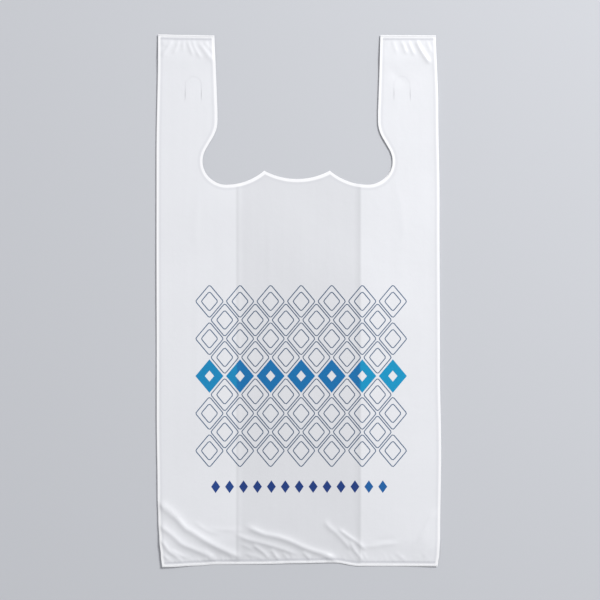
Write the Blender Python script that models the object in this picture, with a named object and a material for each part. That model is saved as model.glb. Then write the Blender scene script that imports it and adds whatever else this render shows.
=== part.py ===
"""Plastic carrier bag with side gussets, one piece of blown film.

The bag is made the way a bag line makes it. A tube of film has a gusset pushed into each side and is
laid flat, so that its section is four layers deep at the sides and two in the middle. Both ends are
heat sealed and trimmed, which leaves a bead. A die then cuts through all the layers and leaves two
handles, with the mouth of the bag between them, and a tongue slit in each handle.

The bag lies on its back: +X to its right, +Y towards the handles, +Z out of its front. The origin is on
the surface that it lies on, below the middle of its outline. Metres throughout.
"""

import math

import bmesh
import bpy

MM = 0.001

# Driving dimensions
BAG_WIDTH = 292.0 * MM  # lying flat, over the side folds
BAG_LENGTH = 551.0 * MM  # from the bottom seal to the top of the handles
GUSSET_DEPTH = 82.5 * MM  # how far each side is pushed in
FILM = 0.015 * MM  # wall of the film

# How the layers lie
LAYER_PITCH = 0.50 * MM  # from one layer to the next where a little air is left between them
SEAL_PITCH = 0.05 * MM  # from one layer to the next inside a seal
LAYER_GAPS = 3  # four layers at the sides: back, two of gusset, front
SETTLE_LENGTH = 30.0 * MM  # stretch over which the layers come together towards a seal
SETTLE_STEPS = 5
FOLD_STEPS = 4

# Heat seals across both ends
SEAL_WIDTH = 2.5 * MM
SEAL_HEIGHT = 0.24 * MM
BEAD_WIDTH = 0.8 * MM
BEAD_HEIGHT = 0.30 * MM
SEAL_OVERHANG = 0.10 * MM  # how far the seal stands past the folds at each side
SEAL_COVER = 1.0 * MM  # melted film beyond the ends of the layers

# Die cut: half widths are from the middle of the bag, depths from the top of the handles
MOUTH_HALF_WIDTH = 86.7 * MM
WAIST_HALF_WIDTH = 83.4 * MM
WAIST_DEPTH = 80.0 * MM
NECK_RADIUS = 35.0 * MM
NECK_TURN = math.radians(30.0)
LOBE_HALF_WIDTH = 73.3 * MM
LOBE_DEPTH = 130.5 * MM
LOBE_RADIUS = 25.0 * MM
CUSP_HALF_WIDTH = 34.0 * MM
CUSP_DEPTH = 141.0 * MM
LIP_DEPTH = 149.6 * MM
ARC_STEP = math.radians(12.0)
LIP_STEP = math.radians(7.0)

# Tongue slit in each handle, shaped like an arch
SLIT_CENTRE = 108.5 * MM
SLIT_WIDTH = 17.0 * MM
SLIT_TOP_DEPTH = 43.0 * MM
SLIT_FOOT_DEPTH = 68.0 * MM
SLIT_KERF = 0.40 * MM
SLIT_STEPS = 8

# How far cutters reach past what they cut
CUT_BELOW = 5.0 * MM
CUT_ABOVE = 10.0 * MM
CUT_PAST_TOP = 10.0 * MM

FILM_COLOR = (0.807, 0.815, 0.847, 1.0)
FILM_ROUGHNESS = 0.38
FILM_IOR = 1.54


def clear_scene():
    """Remove every object, so that the part starts from an empty scene."""
    for item in list(bpy.data.objects):
        bpy.data.objects.remove(item, do_unlink=True)


def film_material():
    """Return the satin white of the film."""
    material = bpy.data.materials.new("white_film")
    material.use_nodes = True
    shader = material.node_tree.nodes["Principled BSDF"]
    shader.inputs["Base Color"].default_value = FILM_COLOR
    shader.inputs["Roughness"].default_value = FILM_ROUGHNESS
    shader.inputs["Metallic"].default_value = 0.0
    shader.inputs["IOR"].default_value = FILM_IOR
    return material


def add_object(name, mesh_data, hidden=False):
    """Put a bmesh into the scene as a named object, hidden if it only shapes another one."""
    mesh = bpy.data.meshes.new(name)
    mesh_data.to_mesh(mesh)
    mesh_data.free()
    item = bpy.data.objects.new(name, mesh)
    bpy.context.scene.collection.objects.link(item)
    if hidden:
        item.hide_render = True
        item.display_type = "WIRE"
    return item


def arc(centre, radius, start, end, steps):
    """Return the points of an arc in a plane, both ends included."""
    return [
        (
            centre[0] + radius * math.cos(start + (end - start) * i / steps),
            centre[1] + radius * math.sin(start + (end - start) * i / steps),
        )
        for i in range(steps + 1)
    ]


def film_section(half_width, pitch, base, side):
    """Return one wall of the folded tube as a closed loop of (x, z) points.

    half_width is to the outside of the side folds, base is the height of the middle of the back layer,
    and side is +1 for the outer wall of the film and -1 for the inner wall. The loop runs to the right
    along the back, in and out along the right gusset, and to the left along the front.
    """
    fold = pitch / 2.0
    skin = side * FILM / 2.0
    outer_x = half_width - fold - FILM / 2.0
    inner_x = half_width - GUSSET_DEPTH + fold
    quarter = math.pi / 2.0
    back = arc((outer_x, base + fold), fold + skin, -quarter, quarter, FOLD_STEPS)
    gusset = arc((inner_x, base + 3.0 * fold), fold - skin, -quarter, -3.0 * quarter, FOLD_STEPS)
    front = arc((outer_x, base + 5.0 * fold), fold + skin, -quarter, quarter, FOLD_STEPS)
    right = back + gusset + front
    left = [(-x, z) for x, z in reversed(right)]
    return right + left


def settling():
    """Return (y, share) pairs along the tube, where share is 1 in a seal and 0 where the film lies loose."""
    from_end = [(SEAL_COVER, 1.0)]
    for i in range(SETTLE_STEPS + 1):
        t = i / SETTLE_STEPS
        from_end.append((SEAL_WIDTH + SETTLE_LENGTH * t, 0.5 + 0.5 * math.cos(math.pi * t)))
    bottom = [(run - BAG_LENGTH / 2.0, share) for run, share in from_end]
    top = [(BAG_LENGTH / 2.0 - run, share) for run, share in reversed(from_end)]
    return bottom + top


def folded_tube():
    """Return the gusseted film tube: an outer and an inner wall, closed by a rim at both ends.

    Each face is wound so that it points out of the film.
    """
    seal_base = SEAL_HEIGHT / 2.0 - LAYER_GAPS * SEAL_PITCH / 2.0
    tube = bmesh.new()
    rings = {+1: [], -1: []}
    for y, share in settling():
        half_width = BAG_WIDTH / 2.0 - SEAL_OVERHANG * share
        pitch = LAYER_PITCH + (SEAL_PITCH - LAYER_PITCH) * share
        base = FILM / 2.0 + (seal_base - FILM / 2.0) * share
        for side, wall in rings.items():
            section = film_section(half_width, pitch, base, side)
            wall.append([tube.verts.new((x, y, z)) for x, z in section])
    bottom, top = 0, -1
    strips = list(zip(rings[+1][1:], rings[+1])) + list(zip(rings[-1], rings[-1][1:]))
    strips.append((rings[+1][bottom], rings[-1][bottom]))
    strips.append((rings[-1][top], rings[+1][top]))
    for near, far in strips:
        for i in range(len(near)):
            j = (i + 1) % len(near)
            tube.faces.new((near[i], near[j], far[j], far[i]))
    return tube


def prism(outline, low, high):
    """Return a closed prism over an (x, y) outline, from one height to another."""
    solid = bmesh.new()
    floor = solid.faces.new([solid.verts.new((x, y, low)) for x, y in outline])
    top = bmesh.ops.extrude_face_region(solid, geom=[floor])
    moved = [part for part in top["geom"] if isinstance(part, bmesh.types.BMVert)]
    bmesh.ops.translate(solid, verts=moved, vec=(0.0, 0.0, high - low))
    bmesh.ops.recalc_face_normals(solid, faces=solid.faces[:])
    return solid


def seal_bar(name, end):
    """Return the melted band across one end of the tube, with the bead where it was trimmed.

    end is +1 at the top of the handles and -1 at the bottom of the bag.
    """
    edge = end * BAG_LENGTH / 2.0
    half = BAG_WIDTH / 2.0
    profile = [
        (edge, 0.0),
        (edge, BEAD_HEIGHT),
        (edge - end * BEAD_WIDTH, BEAD_HEIGHT),
        (edge - end * 2.0 * BEAD_WIDTH, SEAL_HEIGHT),
        (edge - end * SEAL_WIDTH, SEAL_HEIGHT),
        (edge - end * SEAL_WIDTH, 0.0),
    ]
    bar = bmesh.new()
    left = [bar.verts.new((-half, y, z)) for y, z in profile]
    right = [bar.verts.new((half, y, z)) for y, z in profile]
    bar.faces.new(left)
    bar.faces.new(right)
    for i in range(len(profile)):
        j = (i + 1) % len(profile)
        bar.faces.new((left[i], left[j], right[j], right[i]))
    bmesh.ops.recalc_face_normals(bar, faces=bar.faces[:])
    return add_object(name, bar, hidden=True)


def steps_for(turn, step):
    """Return how many straight steps an arc that turns this far takes."""
    return max(2, math.ceil(abs(turn) / step))


def mouth_half_outline():
    """Return the right half of the die cut as (half width, depth) points, from the top to the middle.

    A waist leads into a neck, the neck into a round lobe, and two scallops with a cusp between them make
    the lip of the bag's mouth.
    """
    # the neck is where an arc on the waist's line meets the lobe's tangent at the same slant
    slant_x = LOBE_HALF_WIDTH + LOBE_RADIUS * math.cos(NECK_TURN)
    slant_d = LOBE_DEPTH - LOBE_RADIUS * math.sin(NECK_TURN)
    neck_end_x = WAIST_HALF_WIDTH + NECK_RADIUS * (1.0 - math.cos(NECK_TURN))
    neck_end_d = slant_d - (slant_x - neck_end_x) / math.tan(NECK_TURN)
    neck_centre = (WAIST_HALF_WIDTH + NECK_RADIUS, neck_end_d - NECK_RADIUS * math.sin(NECK_TURN))

    neck = arc(neck_centre, NECK_RADIUS, math.pi, math.pi - NECK_TURN, steps_for(NECK_TURN, ARC_STEP))
    lobe_turn = NECK_TURN + math.pi / 2.0
    lobe = arc(
        (LOBE_HALF_WIDTH, LOBE_DEPTH),
        LOBE_RADIUS,
        -NECK_TURN,
        math.pi / 2.0,
        steps_for(lobe_turn, ARC_STEP),
    )
    lobe_foot = LOBE_DEPTH + LOBE_RADIUS
    side_scallop = scallop(LOBE_HALF_WIDTH, lobe_foot, CUSP_HALF_WIDTH, CUSP_DEPTH)
    middle_scallop = scallop(0.0, LIP_DEPTH, CUSP_HALF_WIDTH, CUSP_DEPTH)
    middle_scallop.reverse()
    top = [(MOUTH_HALF_WIDTH, 0.0), (WAIST_HALF_WIDTH, WAIST_DEPTH)]
    return top + neck + lobe + side_scallop[1:] + middle_scallop[1:]


def scallop(foot_x, foot_depth, end_x, end_depth):
    """Return an arc that is level at its foot and runs up to an end point."""
    across = end_x - foot_x
    rise = foot_depth - end_depth
    radius = (across**2 + rise**2) / (2.0 * rise)
    turn = math.asin(abs(across) / radius)
    steps = steps_for(turn, LIP_STEP)
    direction = math.copysign(1.0, across)
    return [
        (
            foot_x + direction * radius * math.sin(turn * i / steps),
            foot_depth - radius * (1.0 - math.cos(turn * i / steps)),
        )
        for i in range(steps + 1)
    ]


def mouth_cutter():
    """Return the die that cuts out the mouth and leaves the handles."""
    half = mouth_half_outline()
    above = (MOUTH_HALF_WIDTH, -CUT_PAST_TOP)
    right = [above] + half
    left = [(-x, depth) for x, depth in reversed(right[:-1])]
    outline = [(x, BAG_LENGTH / 2.0 - depth) for x, depth in right + left]
    return add_object("mouth_cutter", prism(outline, -CUT_BELOW, CUT_ABOVE), hidden=True)


def slit_cutter(name, side):
    """Return the thin arch that cuts the tongue in one handle, side being +1 for the right one."""
    centre_x = side * SLIT_CENTRE
    radius = SLIT_WIDTH / 2.0
    spring = BAG_LENGTH / 2.0 - SLIT_TOP_DEPTH - radius
    foot = BAG_LENGTH / 2.0 - SLIT_FOOT_DEPTH
    outer = arc((centre_x, spring), radius + SLIT_KERF / 2.0, 0.0, math.pi, SLIT_STEPS)
    inner = arc((centre_x, spring), radius - SLIT_KERF / 2.0, math.pi, 0.0, SLIT_STEPS)
    outer = [(outer[0][0], foot)] + outer + [(outer[-1][0], foot)]
    inner = [(inner[0][0], foot)] + inner + [(inner[-1][0], foot)]
    return add_object(name, prism(outer + inner, -CUT_BELOW, CUT_ABOVE), hidden=True)


def add_boolean(target, operation, operand):
    """Let a hidden object add to or cut a target."""
    step = target.modifiers.new(f"{operation.lower()}_{operand.name}", "BOOLEAN")
    step.operation = operation
    step.solver = "EXACT"
    step.object = operand


def carrier_bag():
    """Build the bag: fold the tube, seal both ends, then die cut the mouth and the slits."""
    bag = add_object("carrier_bag", folded_tube())
    bag.data.materials.append(film_material())
    add_boolean(bag, "UNION", seal_bar("bottom_seal_bar", -1))
    add_boolean(bag, "UNION", seal_bar("top_seal_bar", +1))
    add_boolean(bag, "DIFFERENCE", mouth_cutter())
    add_boolean(bag, "DIFFERENCE", slit_cutter("left_slit_cutter", -1))
    add_boolean(bag, "DIFFERENCE", slit_cutter("right_slit_cutter", +1))
    return bag


clear_scene()
carrier_bag()
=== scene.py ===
"""Looks of a plastic carrier bag: printed white film, gusseted, sealed, die cut and lying flat.

The bag is drawn as its flat film first: one sheet that goes once round the folded tube, with the mouth
and the slits cut out of it. The sheet is then folded into its layers, given the creases and the air that
a bag out of its pack has, and dressed. Sizes are in millimetres until a mesh is made.
"""

import logging
import math
from dataclasses import dataclass, field
from enum import Enum

import bpy
import numpy as np
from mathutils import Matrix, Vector
from mathutils.geometry import delaunay_2d_cdt
from mathutils.kdtree import KDTree

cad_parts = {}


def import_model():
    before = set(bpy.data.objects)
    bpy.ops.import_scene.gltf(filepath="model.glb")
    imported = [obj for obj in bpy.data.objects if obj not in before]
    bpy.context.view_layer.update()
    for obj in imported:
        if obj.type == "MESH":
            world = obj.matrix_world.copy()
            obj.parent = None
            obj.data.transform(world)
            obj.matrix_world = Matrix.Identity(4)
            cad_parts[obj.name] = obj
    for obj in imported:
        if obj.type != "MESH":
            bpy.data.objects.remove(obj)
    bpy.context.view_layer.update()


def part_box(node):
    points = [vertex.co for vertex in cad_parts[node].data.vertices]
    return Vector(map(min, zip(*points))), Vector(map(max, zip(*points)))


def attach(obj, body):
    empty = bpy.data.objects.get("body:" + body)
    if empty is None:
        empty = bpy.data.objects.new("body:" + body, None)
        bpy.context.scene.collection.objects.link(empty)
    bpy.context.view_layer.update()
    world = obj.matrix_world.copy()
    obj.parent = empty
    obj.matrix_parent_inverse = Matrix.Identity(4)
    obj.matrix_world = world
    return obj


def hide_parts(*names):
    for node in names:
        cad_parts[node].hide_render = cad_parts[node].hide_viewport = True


MM = 0.001
NODE = "carrier_bag"
BODY = "root"
DROP = 0.05  # height in metres from which a shape is let down on the film
log = logging.getLogger("carrier_bag")


class Layer(Enum):
    """A layer of the folded bag, with its level above the table."""

    BACK = 0.0
    LOWER_GUSSET = 1.0
    UPPER_GUSSET = 2.0
    FRONT = 3.0


def linear(hex_colour: str) -> tuple[float, float, float, float]:
    """Turn an sRGB hex colour into linear light.

    Args:
        hex_colour: Six hex digits after a hash sign.

    Returns:
        Red, green, blue and an alpha of one.
    """
    parts = [int(hex_colour[i : i + 2], 16) / 255.0 for i in (1, 3, 5)]
    light = [p / 12.92 if p <= 0.04045 else ((p + 0.055) / 1.055) ** 2.4 for p in parts]
    return (light[0], light[1], light[2], 1.0)


def add_node(tree: bpy.types.NodeTree, kind: str, settings: dict, links: dict) -> bpy.types.Node:
    """Add a node with its settings and its inputs.

    Args:
        tree: The node tree that the node goes into.
        kind: The node's type name in Blender.
        settings: Properties of the node, by name.
        links: Inputs, by name or number: an output socket to link, or a value to set.

    Returns:
        The new node.
    """
    node = tree.nodes.new(kind)
    for name, value in settings.items():
        setattr(node, name, value)
    for key, value in links.items():
        socket = node.inputs[key]
        if isinstance(value, bpy.types.NodeSocket):
            tree.links.new(value, socket)
        else:
            socket.default_value = value
    return node


def smoothstep(low: float, high: float, value: np.ndarray) -> np.ndarray:
    """Return a smooth rise from 0 at low to 1 at high."""
    t = np.clip((value - low) / (high - low), 0.0, 1.0)
    return t * t * (3.0 - 2.0 * t)


def along(points: list[tuple[float, float]], value: np.ndarray) -> np.ndarray:
    """Return a smooth curve through (place, amount) points, read at each value.

    Args:
        points: Places in rising order, each with an amount.
        value: Places to read the curve at.

    Returns:
        The amounts, level past both ends.
    """
    places = np.array([p for p, _ in points])
    amounts = np.array([a for _, a in points])
    index = np.clip(np.searchsorted(places, value) - 1, 0, len(places) - 2)
    share = smoothstep(0.0, 1.0, (value - places[index]) / (places[index + 1] - places[index]))
    return amounts[index] + (amounts[index + 1] - amounts[index]) * share


def arc(centre: tuple[float, float], radius: float, start: float, end: float, pitch: float) -> np.ndarray:
    """Return points along an arc, both ends included.

    Args:
        centre: Middle of the arc.
        radius: Its radius.
        start: Angle of its first point, in radians.
        end: Angle of its last point.
        pitch: Largest distance between two points.

    Returns:
        An array of points.
    """
    steps = max(3, math.ceil(radius * abs(end - start) / pitch))
    angle = np.linspace(start, end, steps + 1)
    return np.column_stack((centre[0] + radius * np.cos(angle), centre[1] + radius * np.sin(angle)))


def straight(start: tuple[float, float], end: tuple[float, float], pitch: float) -> np.ndarray:
    """Return evenly spaced points on a line, both ends included."""
    steps = max(1, math.ceil(math.dist(start, end) / pitch))
    return np.linspace(start, end, steps + 1)


def inside(outline: np.ndarray, points: np.ndarray) -> np.ndarray:
    """Say which points lie inside a closed outline.

    Args:
        outline: The outline's corners in order.
        points: The points to test.

    Returns:
        True for each point inside.
    """
    x, y = points[:, 0], points[:, 1]
    found = np.zeros(len(points), bool)
    for (x0, y0), (x1, y1) in zip(outline, np.roll(outline, -1, axis=0)):
        if y0 == y1:
            continue
        crosses = (y0 > y) != (y1 > y)
        found ^= crosses & (x < (x1 - x0) * (y - y0) / (y1 - y0) + x0)
    return found


@dataclass
class BagSize:
    """The bag's flat sizes, from the frame's box and the way such a bag is folded."""

    width: float
    length: float
    gusset: float = 82.5
    uneven: float = 1.3  # how far the gussets' inner folds lie to the right of where they should
    film: float = 0.015
    seal: float = 2.5

    @classmethod
    def from_frame(cls) -> "BagSize":
        """Read the width and the length from the frame's node."""
        low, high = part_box(NODE)
        return cls(width=(high[0] - low[0]) / MM, length=(high[1] - low[1]) / MM)

    @property
    def half(self) -> float:
        """Return half the width."""
        return self.width / 2.0

    @property
    def end(self) -> float:
        """Return the distance from the middle to either end."""
        return self.length / 2.0


@dataclass
class DieCut:
    """What the die cuts out of all the layers: the mouth between the handles, and a tongue slit in each."""

    size: BagSize
    mouth: float = 86.7
    waist: float = 83.4
    waist_depth: float = 80.0
    neck_radius: float = 35.0
    neck_turn: float = math.radians(30.0)
    lobe: tuple[float, float] = (73.3, 130.5)
    lobe_radius: float = 25.0
    cusp: tuple[float, float] = (34.0, 141.0)
    lip_depth: float = 149.6
    slit_centre: float = 108.5
    slit_width: float = 17.0
    slit_top: float = 43.0
    slit_foot: float = 68.0
    kerf: float = 0.08
    gape: float = 0.20  # how much wider the cut stands open low in its legs

    def half_mouth(self, pitch: float) -> np.ndarray:
        """Return the right half of the mouth, from the top of the handle to the middle of the lip.

        Args:
            pitch: Largest distance between two points.

        Returns:
            Points in the flat bag's own frame.
        """
        turn = self.neck_turn
        slant = (
            self.lobe[0] + self.lobe_radius * math.cos(turn),
            self.lobe[1] - self.lobe_radius * math.sin(turn),
        )
        neck_x = self.waist + self.neck_radius * (1.0 - math.cos(turn))
        neck_depth = slant[1] - (slant[0] - neck_x) / math.tan(turn)
        centre = (self.waist + self.neck_radius, neck_depth - self.neck_radius * math.sin(turn))
        neck = arc(centre, self.neck_radius, math.pi, math.pi - turn, pitch)
        lobe = arc(self.lobe, self.lobe_radius, -turn, math.pi / 2.0, pitch)
        foot = (self.lobe[0], self.lobe[1] + self.lobe_radius)
        runs = [
            straight((self.mouth, 0.0), (self.waist, self.waist_depth), pitch),
            straight((self.waist, self.waist_depth), tuple(neck[0]), pitch)[1:],
            neck[1:],
            straight(tuple(neck[-1]), tuple(lobe[0]), pitch)[1:],
            lobe[1:],
            self.scallop(foot, pitch)[1:],
            self.scallop((0.0, self.lip_depth), pitch)[::-1][1:],
        ]
        points = np.vstack(runs)
        points[:, 1] = self.size.end - points[:, 1]
        return points

    def scallop(self, foot: tuple[float, float], pitch: float) -> np.ndarray:
        """Return an arc that is level at its foot and ends in the cusp.

        Args:
            foot: Half width and depth where the scallop is deepest.
            pitch: Largest distance between two points.

        Returns:
            Half widths and depths, from the foot to the cusp.
        """
        across = self.cusp[0] - foot[0]
        rise = foot[1] - self.cusp[1]
        radius = (across**2 + rise**2) / (2.0 * rise)
        turn = math.asin(across / radius)
        return arc((foot[0], foot[1] - radius), radius, math.pi / 2.0, math.pi / 2.0 - turn, pitch)

    def slit(self, pitch: float) -> np.ndarray:
        """Return the closed outline of the right handle's tongue slit, an arch as wide as its cut has opened.

        Args:
            pitch: Largest distance between two points.

        Returns:
            Points in the flat bag's own frame.
        """
        radius = self.slit_width / 2.0
        centre = (self.slit_centre, self.size.end - self.slit_top - radius)
        foot = self.size.end - self.slit_foot
        arch = arc(centre, radius, 0.0, math.pi, pitch)
        spine = np.vstack(
            (straight((arch[0, 0], foot), tuple(arch[0]), pitch)[:-1], arch,
             straight(tuple(arch[-1]), (arch[-1, 0], foot), pitch)[1:])
        )
        away = np.gradient(spine, axis=0)[:, ::-1] * (1.0, -1.0)
        away /= np.hypot(*away.T)[:, None]
        low = np.exp(-(((spine[:, 1] - foot - 7.0) / 4.5) ** 2))
        half = (self.kerf + self.gape * low)[:, None] / 2.0
        return np.vstack((spine + away * half, (spine - away * half)[::-1]))


@dataclass(frozen=True)
class Crease:
    """A ridge that runs through given points, or a trough where its height is below zero."""

    route: tuple[tuple[float, float], ...]
    height: float
    width: float
    fade: float = 0.35  # share of the run over which each end dies away

    def line(self, steps: int = 6) -> np.ndarray:
        """Return a smooth run of points through the route.

        Args:
            steps: Points between two places on the route.

        Returns:
            The points of a Catmull-Rom curve.
        """
        p = np.array(self.route)
        p = np.vstack((2.0 * p[0] - p[1], p, 2.0 * p[-1] - p[-2]))
        t = np.linspace(0.0, 1.0, steps, endpoint=False)[:, None]
        runs = []
        for a, b, c, d in zip(p, p[1:], p[2:], p[3:]):
            bend = (2.0 * a - 5.0 * b + 4.0 * c - d) * t**2 + (3.0 * b - a - 3.0 * c + d) * t**3
            runs.append(0.5 * (2.0 * b + (c - a) * t + bend))
        return np.vstack((*runs, p[-2:-1]))

    def relief(self, x: np.ndarray, y: np.ndarray) -> np.ndarray:
        """Return how far the crease lifts the film.

        Args:
            x: Places across the bag.
            y: Places along it.

        Returns:
            Heights, in millimetres.
        """
        line = self.line()
        near = np.full(x.shape, 1e9)
        share = np.zeros(x.shape)
        run = np.concatenate(([0.0], np.cumsum(np.hypot(*np.diff(line, axis=0).T))))
        for (ax, ay), (bx, by), start in zip(line, line[1:], run):
            dx, dy = bx - ax, by - ay
            span = math.hypot(dx, dy)
            t = np.clip(((x - ax) * dx + (y - ay) * dy) / span**2, 0.0, 1.0)
            gap = np.hypot(x - ax - dx * t, y - ay - dy * t)
            closer = gap < near
            near = np.where(closer, gap, near)
            share = np.where(closer, (start + span * t) / run[-1], share)
        strength = smoothstep(0.0, self.fade, share) * smoothstep(0.0, self.fade, 1.0 - share)
        crest = 0.35 * self.width
        rise = np.exp((crest - np.sqrt(near**2 + crest**2)) / (0.62 * self.width))
        return self.height * strength * rise


CREASES = (
    # the longest ridge of the bottom left corner, and the soft one beside it
    Crease(((-146, -208), (-138, -213), (-126, -223), (-116, -234), (-108, -239), (-92, -249), (-79, -256),
            (-66, -262), (-56, -268)), 2.3, 5.2, 0.08),
    Crease(((-109, -225), (-101, -232), (-91, -238), (-76, -241)), 0.6, 2.8, 0.35),
    Crease(((-100, -234), (-80, -236), (-60, -237), (-44, -238)), 0.45, 3.0, 0.35),
    # the shorter ridges below it
    Crease(((-146, -230), (-137, -236), (-128, -243), (-119, -251), (-108, -256), (-97, -261),
            (-83, -269)), 1.7, 4.2, 0.12),
    Crease(((-144, -245), (-138, -251), (-132, -259), (-125, -264), (-119, -269)), 1.4, 2.9, 0.20),
    Crease(((-133, -255), (-126, -260), (-118, -264), (-111, -268)), 0.75, 2.0, 0.30),
    Crease(((-142, -260), (-136, -265), (-131, -270)), 0.8, 1.9, 0.30),
    Crease(((-101, -255), (-91, -262), (-82, -268)), 0.5, 2.2, 0.35),
    # ridges across the middle, which end in the bottom seal
    Crease(((-57, -231), (-46, -236), (-34, -241), (-20, -244), (-6, -249), (7, -255), (18, -259), (31, -263),
            (45, -269)), 1.9, 4.0, 0.12),
    Crease(((-68, -239), (-52, -246), (-37, -250), (-20, -255), (-6, -260), (4, -264)), 1.35, 3.2, 0.18),
    Crease(((-60, -251), (-52, -254), (-44, -259)), 0.5, 2.0, 0.35),
    Crease(((-47, -251), (-39, -257), (-33, -262), (-28, -268)), 1.15, 2.2, 0.22),
    Crease(((-27, -256), (-25, -260), (-21, -265), (-19, -269)), 1.15, 2.0, 0.25),
    Crease(((-16, -260), (-11, -265), (-8, -269)), 0.75, 1.8, 0.30),
    Crease(((-8, -261), (-5, -265), (-2, -269)), 0.55, 1.7, 0.30),
    Crease(((5, -259), (9, -263), (14, -268)), 1.0, 2.1, 0.28),
    Crease(((-58, -260), (-48, -263), (-38, -266), (-31, -269)), 0.7, 2.4, 0.30),
    Crease(((23, -263), (33, -266), (42, -270)), 0.6, 1.9, 0.30),
    # a fan to the right of the middle
    Crease(((27, -225), (32, -233), (39, -239), (46, -246), (52, -253), (56, -259)), 1.15, 3.2, 0.18),
    Crease(((41, -234), (48, -240), (55, -245), (61, -249), (66, -253), (72, -259)), 1.25, 2.5, 0.20),
    Crease(((54, -247), (58, -256), (64, -264), (69, -270)), 1.3, 2.3, 0.22),
    Crease(((68, -259), (70, -264), (73, -269)), 0.6, 1.7, 0.30),
    Crease(((64, -254), (76, -254), (90, -252), (108, -250)), 0.65, 2.8, 0.30),
    Crease(((76, -248), (90, -247), (105, -246)), -0.35, 2.4, 0.35),
    # faint ones near the right corner
    Crease(((146, -212), (137, -226), (130, -240), (122, -253)), 0.8, 3.6, 0.28),
    Crease(((143, -250), (134, -260), (127, -269)), 0.45, 2.6, 0.35),
    Crease(((100, -259), (106, -264), (111, -269)), 0.45, 2.4, 0.35),
    # pleats under the seal of the left handle
    Crease(((-128, 271), (-134, 262), (-141, 251)), 0.8, 2.0, 0.25),
    Crease(((-122, 271), (-125, 262), (-129, 254)), 0.6, 1.8, 0.30),
    Crease(((-118, 271), (-118, 263), (-118, 256)), 0.45, 1.7, 0.35),
    Crease(((-114, 271), (-111, 262), (-107, 252)), 0.8, 1.9, 0.30),
    Crease(((-109, 271), (-105, 260), (-98, 249)), 0.7, 2.0, 0.30),
    Crease(((-104, 270), (-95, 258), (-86, 245)), 1.0, 3.4, 0.30),
    Crease(((-98, 270), (-91, 262), (-85, 256)), 0.5, 2.2, 0.35),
    # pleats under the seal of the right handle
    Crease(((133, 271), (136, 263), (139, 255)), 0.5, 1.9, 0.30),
    Crease(((122, 271), (128, 259), (138, 244)), 1.2, 2.3, 0.22),
    Crease(((114, 271), (117, 263), (122, 252)), 0.7, 1.9, 0.30),
    Crease(((107, 271), (110, 263), (114, 254)), 0.7, 1.8, 0.30),
    Crease(((99, 270), (101, 262), (104, 254)), 0.35, 1.8, 0.35),
    # a slack place beside the slit of the right handle
    Crease(((96, 244), (104, 232), (118, 222)), -0.5, 6.0, 0.35),
    # drag lines where the handles meet the body
    Crease(((-98, 118), (-104, 96), (-106, 70), (-104, 40)), 0.25, 5.0, 0.40),
    Crease(((99, 128), (106, 104), (109, 76), (108, 50)), 0.28, 5.0, 0.40),
    # long soft lines down the body, left by the folding
    Crease(((-27, 120), (-29, 40), (-28, -60), (-30, -200)), 0.18, 3.0, 0.30),
    Crease(((34, 110), (33, 0), (35, -120), (33, -215)), 0.12, 4.0, 0.30),
    Crease(((-104, 60), (-103, -20), (-105, -150)), 0.20, 7.0, 0.40),
    Crease(((104, 90), (106, 0), (103, -130)), 0.22, 8.0, 0.40),
)


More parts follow.
